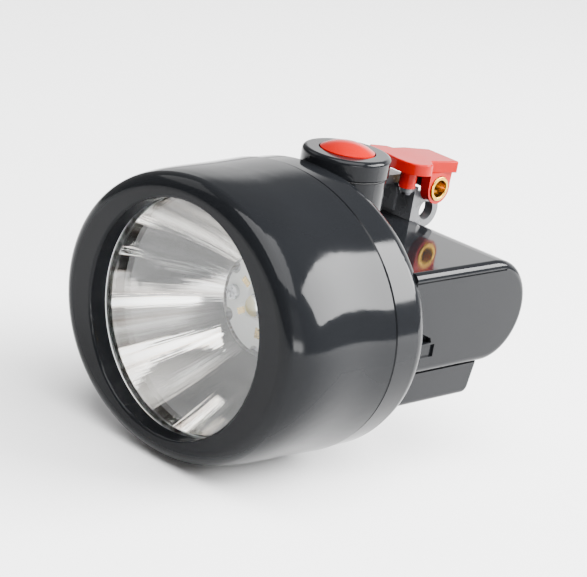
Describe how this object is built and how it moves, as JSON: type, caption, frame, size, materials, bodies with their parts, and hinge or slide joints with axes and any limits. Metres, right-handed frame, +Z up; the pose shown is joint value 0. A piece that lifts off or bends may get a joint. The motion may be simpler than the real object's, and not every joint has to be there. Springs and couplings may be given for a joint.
{
  "type": "cap_lamp",
  "caption": "Cordless miner's cap lamp: oval head with a bowl reflector, box for a cell behind it, push switch on top and a swivelling charging contact at the rear.",
  "frame": {"origin": "middle of the footprint, at the height of the lowest point of the oval head", "axes": "-Y is the way the beam leaves, +Z is up toward the push switch, +X is the wearer's left"},
  "size_m": [0.072, 0.0742, 0.0645],
  "materials": {
    "gloss_black": "polished black polycarbonate",
    "black_plastic": "satin black moulding",
    "black_rubber": "soft black seal",
    "clear_lens": "clear",
    "mirror_coat": "vacuum metallised",
    "white_board": "white solder mask",
    "gold_pads": "gold plated",
    "white_ceramic": "ceramic",
    "yellow_phosphor": "phosphor gel",
    "steel": "zinc plated",
    "black_steel": "black oxide",
    "bare_aluminium": "turned",
    "cell_wrap": "shrink sleeve",
    "green_board": "green solder mask",
    "tan_ceramic": "ceramic",
    "red_plastic": "orange red moulding",
    "brass": "turned brass",
    "wire_red": "insulated wire"
  },
  "bodies": {
    "lamp": {"bezel": "gloss_black", "head_housing": "gloss_black", "battery_case": "gloss_black", "top_cover": "gloss_black", "base_housing": "gloss_black", "lens_gasket": "black_rubber", "head_seal": "black_rubber", "collar_gasket": "black_rubber", "lens": "clear_lens", "reflector": "mirror_coat", "led_board": "white_board", "led_pads": "gold_pads", "led_package": "white_ceramic", "led_phosphor": "yellow_phosphor", "led_dome": "clear_lens", "led_screws": "steel", "heat_sink": "bare_aluminium", "base_screws": "steel", "cell": "cell_wrap", "cell_cap": "steel", "cell_contact_plus": "gold_pads", "cell_contact_minus": "steel", "driver_board": "green_board", "driver_chips": "black_plastic", "driver_coil": "black_plastic", "driver_capacitors": "tan_ceramic", "helmet_clip": "steel", "switch_body": "black_plastic", "switch_collar": "gloss_black", "return_spring": "steel", "charge_bracket": "black_plastic", "led_wires": "wire_red"},
    "button": {"push_button": "red_plastic", "switch_plunger": "black_plastic"},
    "cover": {"charge_cover": "red_plastic", "contact_block": "red_plastic", "contact_backing": "black_plastic", "brass_sleeve": "brass", "pivot_screw": "black_steel"}
  },
  "joints": [
    {"name": "button_press", "type": "slide", "parent": "lamp", "child": "button", "axis": [0, 0, -1], "range_m": [0, 0.0012], "stiffness_N_per_m": 900, "springref_m": -0.0012, "deforming": ["return_spring"]},
    {"name": "cover_swivel", "type": "hinge", "parent": "lamp", "child": "cover", "pos_m": [0.0025, 0.0253, 0.05524], "axis": [0, 0, -1], "range_deg": [0, 75]}
  ]
}
